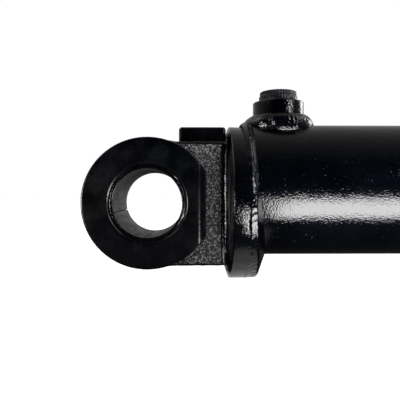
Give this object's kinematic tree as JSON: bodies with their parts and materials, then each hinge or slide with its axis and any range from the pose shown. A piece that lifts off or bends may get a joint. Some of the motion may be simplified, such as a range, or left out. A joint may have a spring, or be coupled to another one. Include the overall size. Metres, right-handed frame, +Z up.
{
  "type": "telescopic hydraulic cylinder",
  "caption": "Multi-stage telescopic hydraulic cylinder with a pin eye at each end, a welded collar, a plugged top port and nested plated tubes.",
  "frame": {"origin": "centre of the base eye's pin bore", "axes": "+X along the barrel towards the rod end, +Y along the base pin, +Z up through the oil port"},
  "size_m": [0.7756, 0.12, 0.1476],
  "materials": {
    "forging_paint": "satin black paint over a rough forging",
    "barrel_paint": "gloss black paint",
    "bush_steel": "rolled, dull",
    "plated_steel": "ground and plated",
    "ring_steel": "turned",
    "guide_plastic": "fabric-filled resin",
    "seal_rubber": "moulded polyurethane",
    "plug_plastic": "moulded, ribbed"
  },
  "bodies": {
    "barrel": {"base_lug": "forging_paint", "base_bush": "bush_steel", "lug_weld": "barrel_paint", "base_cap": "barrel_paint", "cap_weld": "barrel_paint", "barrel_tube": "barrel_paint", "port_boss": "barrel_paint", "port_weld": "barrel_paint", "barrel_head_nut": "barrel_paint", "barrel_wiper": "seal_rubber", "barrel_seal": "seal_rubber", "barrel_guide_ring": "guide_plastic"},
    "stage_1_rings": {"stage_1_lower_guide_ring": "guide_plastic", "stage_1_stop_ring": "ring_steel"},
    "stage_1": {"stage_1_tube": "plated_steel", "stage_1_head_nut": "barrel_paint", "stage_1_wiper": "seal_rubber", "stage_1_seal": "seal_rubber", "stage_1_guide_ring": "guide_plastic"},
    "stage_2_rings": {"stage_2_lower_guide_ring": "guide_plastic", "stage_2_stop_ring": "ring_steel"},
    "stage_2": {"stage_2_tube": "plated_steel", "stage_2_head_nut": "barrel_paint", "stage_2_wiper": "seal_rubber", "stage_2_seal": "seal_rubber", "stage_2_guide_ring": "guide_plastic"},
    "plunger_rings": {"plunger_lower_guide_ring": "guide_plastic", "plunger_stop_ring": "ring_steel"},
    "plunger": {"plunger_tube": "plated_steel", "plunger_foot": "ring_steel", "rod_lug_weld": "barrel_paint", "rod_lug": "forging_paint", "rod_bush": "bush_steel"},
    "plug_seal": {"plug_seal_ring": "seal_rubber"},
    "plug": {"port_plug": "plug_plastic"}
  },
  "joints": [
    {"name": "stage_1_extend", "type": "slide", "parent": "barrel", "child": "stage_1_rings", "axis": [1, 0, 0], "range_m": [0, 0.38]},
    {"name": "stage_1_turn", "type": "hinge", "parent": "stage_1_rings", "child": "stage_1", "pos_m": [0.3, 0, 0.01], "axis": [1, 0, 0], "continuous": true},
    {"name": "stage_2_extend", "type": "slide", "parent": "stage_1", "child": "stage_2_rings", "axis": [1, 0, 0], "range_m": [0, 0.38]},
    {"name": "stage_2_turn", "type": "hinge", "parent": "stage_2_rings", "child": "stage_2", "pos_m": [0.3, 0, 0.01], "axis": [1, 0, 0], "continuous": true},
    {"name": "plunger_extend", "type": "slide", "parent": "stage_2", "child": "plunger_rings", "axis": [1, 0, 0], "range_m": [0, 0.38]},
    {"name": "plunger_turn", "type": "hinge", "parent": "plunger_rings", "child": "plunger", "pos_m": [0.3, 0, 0.01], "axis": [1, 0, 0], "continuous": true},
    {"name": "plug_rise", "type": "slide", "parent": "barrel", "child": "plug_seal", "axis": [0, 0, 1], "range_m": [0, 0.0127]},
    {"name": "plug_unscrew", "type": "hinge", "parent": "plug_seal", "child": "plug", "pos_m": [0.101, 0, 0.08], "axis": [0, 0, 1], "range_deg": [0, 2520]}
  ],
  "couplings": [
    {"joint": "plug_rise", "follows": "plug_unscrew", "m_per_rad": 0.00028871}
  ]
}
